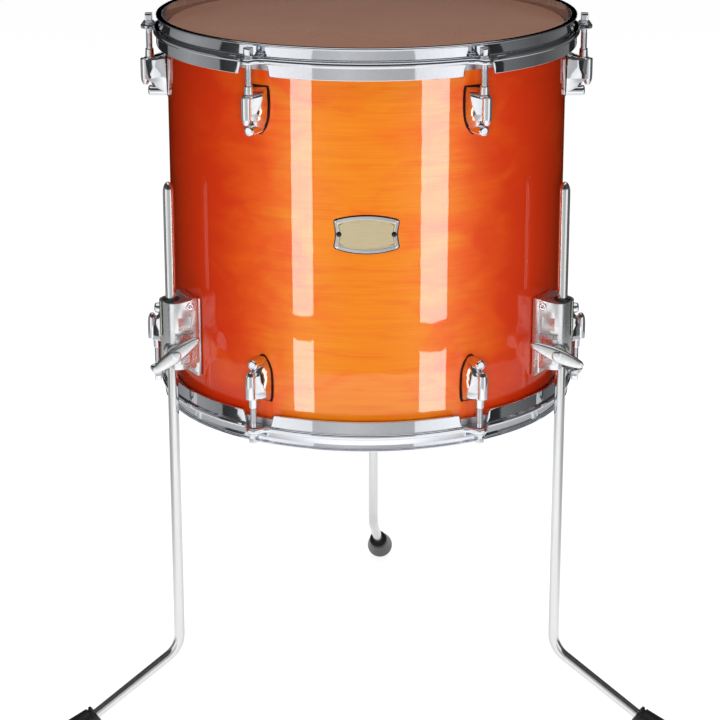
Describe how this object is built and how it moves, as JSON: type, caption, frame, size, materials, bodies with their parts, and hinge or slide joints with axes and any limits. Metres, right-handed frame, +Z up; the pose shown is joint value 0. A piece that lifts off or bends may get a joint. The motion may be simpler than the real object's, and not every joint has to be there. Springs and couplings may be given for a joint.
{
  "type": "floor tom drum",
  "caption": "Three-legged floor tom drum with flanged hoops, tension rods and height-adjustable bent legs in clamp brackets.",
  "frame": {"origin": "on the floor, at the middle of the drum's outline seen from above", "axes": "+Z up along the shell, -Y towards the side with the badge, +X to the player's right of it"},
  "size_m": [0.576, 0.5122, 0.6575],
  "materials": {
    "shell_lacquer": "gloss",
    "head_film": "gloss",
    "flesh_hoop_alloy": "satin",
    "chromed_steel": "mirror",
    "chromed_zinc": "mirror",
    "leg_chrome": "mirror",
    "black_nylon": "satin",
    "black_rubber": "matte",
    "gasket_rubber": "matte",
    "badge_metal": "satin",
    "black_enamel": "gloss",
    "plated_steel": "satin"
  },
  "bodies": {
    "drum": {"badge": "badge_metal", "badge_rivets": "black_enamel", "bracket_gaskets": "gasket_rubber", "bracket_screws": "plated_steel", "clamp_jaw_back": "chromed_steel", "clamp_jaw_left": "chromed_steel", "clamp_jaw_right": "chromed_steel", "flesh_hoop_bottom": "flesh_hoop_alloy", "flesh_hoop_top": "flesh_hoop_alloy", "head_bottom": "head_film", "head_top": "head_film", "hoop_bottom": "chromed_steel", "hoop_top": "chromed_steel", "jaw_pins": "chromed_steel", "leg_bracket_back": "chromed_zinc", "leg_bracket_left": "chromed_zinc", "leg_bracket_right": "chromed_zinc", "lug_bottom_1": "chromed_zinc", "lug_bottom_2": "chromed_zinc", "lug_bottom_3": "chromed_zinc", "lug_bottom_4": "chromed_zinc", "lug_bottom_5": "chromed_zinc", "lug_bottom_6": "chromed_zinc", "lug_gaskets": "gasket_rubber", "lug_screws": "plated_steel", "lug_top_1": "chromed_zinc", "lug_top_2": "chromed_zinc", "lug_top_3": "chromed_zinc", "lug_top_4": "chromed_zinc", "lug_top_5": "chromed_zinc", "lug_top_6": "chromed_zinc", "rod_washers": "chromed_steel", "shell": "shell_lacquer", "shell_washers": "plated_steel", "socket_screws": "plated_steel", "swivel_nuts": "plated_steel"},
    "tension_rod_top_1": {"tension_rod_top_1": "chromed_steel"},
    "tension_rod_top_2": {"tension_rod_top_2": "chromed_steel"},
    "tension_rod_top_3": {"tension_rod_top_3": "chromed_steel"},
    "tension_rod_top_4": {"tension_rod_top_4": "chromed_steel"},
    "tension_rod_top_5": {"tension_rod_top_5": "chromed_steel"},
    "tension_rod_top_6": {"tension_rod_top_6": "chromed_steel"},
    "tension_rod_bottom_1": {"tension_rod_bottom_1": "chromed_steel"},
    "tension_rod_bottom_2": {"tension_rod_bottom_2": "chromed_steel"},
    "tension_rod_bottom_3": {"tension_rod_bottom_3": "chromed_steel"},
    "tension_rod_bottom_4": {"tension_rod_bottom_4": "chromed_steel"},
    "tension_rod_bottom_5": {"tension_rod_bottom_5": "chromed_steel"},
    "tension_rod_bottom_6": {"tension_rod_bottom_6": "chromed_steel"},
    "bush_left": {"leg_bush_left": "black_nylon"},
    "leg_left": {"leg_left": "leg_chrome", "foot_left": "black_rubber"},
    "wing_bolt_left": {"wing_bolt_left": "chromed_steel"},
    "bush_right": {"leg_bush_right": "black_nylon"},
    "leg_right": {"leg_right": "leg_chrome", "foot_right": "black_rubber"},
    "wing_bolt_right": {"wing_bolt_right": "chromed_steel"},
    "bush_back": {"leg_bush_back": "black_nylon"},
    "leg_back": {"leg_back": "leg_chrome", "foot_back": "black_rubber"},
    "wing_bolt_back": {"wing_bolt_back": "chromed_steel"}
  },
  "joints": [
    {"name": "tension_rod_top_1_turn", "type": "hinge", "parent": "drum", "child": "tension_rod_top_1", "pos_m": [0.097, -0.23414, 0.633], "axis": [0, 0, 1], "continuous": true},
    {"name": "tension_rod_top_2_turn", "type": "hinge", "parent": "drum", "child": "tension_rod_top_2", "pos_m": [0.194, -0.06613, 0.633], "axis": [0, 0, 1], "continuous": true},
    {"name": "tension_rod_top_3_turn", "type": "hinge", "parent": "drum", "child": "tension_rod_top_3", "pos_m": [0.097, 0.10188, 0.633], "axis": [0, 0, 1], "continuous": true},
    {"name": "tension_rod_top_4_turn", "type": "hinge", "parent": "drum", "child": "tension_rod_top_4", "pos_m": [-0.097, 0.10188, 0.633], "axis": [0, 0, 1], "continuous": true},
    {"name": "tension_rod_top_5_turn", "type": "hinge", "parent": "drum", "child": "tension_rod_top_5", "pos_m": [-0.194, -0.06613, 0.633], "axis": [0, 0, 1], "continuous": true},
    {"name": "tension_rod_top_6_turn", "type": "hinge", "parent": "drum", "child": "tension_rod_top_6", "pos_m": [-0.097, -0.23414, 0.633], "axis": [0, 0, 1], "continuous": true},
    {"name": "tension_rod_bottom_1_turn", "type": "hinge", "parent": "drum", "child": "tension_rod_bottom_1", "pos_m": [0.097, -0.23414, 0.333], "axis": [0, 0, 1], "continuous": true},
    {"name": "tension_rod_bottom_2_turn", "type": "hinge", "parent": "drum", "child": "tension_rod_bottom_2", "pos_m": [0.194, -0.06613, 0.333], "axis": [0, 0, 1], "continuous": true},
    {"name": "tension_rod_bottom_3_turn", "type": "hinge", "parent": "drum", "child": "tension_rod_bottom_3", "pos_m": [0.097, 0.10188, 0.333], "axis": [0, 0, 1], "continuous": true},
    {"name": "tension_rod_bottom_4_turn", "type": "hinge", "parent": "drum", "child": "tension_rod_bottom_4", "pos_m": [-0.097, 0.10188, 0.333], "axis": [0, 0, 1], "continuous": true},
    {"name": "tension_rod_bottom_5_turn", "type": "hinge", "parent": "drum", "child": "tension_rod_bottom_5", "pos_m": [-0.194, -0.06613, 0.333], "axis": [0, 0, 1], "continuous": true},
    {"name": "tension_rod_bottom_6_turn", "type": "hinge", "parent": "drum", "child": "tension_rod_bottom_6", "pos_m": [-0.097, -0.23414, 0.333], "axis": [0, 0, 1], "continuous": true},
    {"name": "leg_left_swivel", "type": "hinge", "parent": "drum", "child": "bush_left", "pos_m": [-0.17165, -0.16523, 0.388], "axis": [0, 0, 1], "continuous": true},
    {"name": "leg_left_slide", "type": "slide", "parent": "bush_left", "child": "leg_left", "axis": [0, 0, 1], "range_m": [-0.1, 0.2]},
    {"name": "wing_bolt_left_turn", "type": "hinge", "parent": "drum", "child": "wing_bolt_left", "pos_m": [-0.17165, -0.16523, 0.375], "axis": [0.225, -0.9744, 0], "continuous": true},
    {"name": "leg_right_swivel", "type": "hinge", "parent": "drum", "child": "bush_right", "pos_m": [0.17165, -0.16523, 0.388], "axis": [0, 0, 1], "continuous": true},
    {"name": "leg_right_slide", "type": "slide", "parent": "bush_right", "child": "leg_right", "axis": [0, 0, 1], "range_m": [-0.1, 0.2]},
    {"name": "wing_bolt_right_turn", "type": "hinge", "parent": "drum", "child": "wing_bolt_right", "pos_m": [0.17165, -0.16523, 0.375], "axis": [-0.225, -0.9744, 0], "continuous": true},
    {"name": "leg_back_swivel", "type": "hinge", "parent": "drum", "child": "bush_back", "pos_m": [0.00692, 0.13195, 0.388], "axis": [0, 0, 1], "continuous": true},
    {"name": "leg_back_slide", "type": "slide", "parent": "bush_back", "child": "leg_back", "axis": [0, 0, 1], "range_m": [-0.1, 0.2]},
    {"name": "wing_bolt_back_turn", "type": "hinge", "parent": "drum", "child": "wing_bolt_back", "pos_m": [0.00692, 0.13195, 0.375], "axis": [-0.9455, 0.3256, 0], "continuous": true}
  ]
}
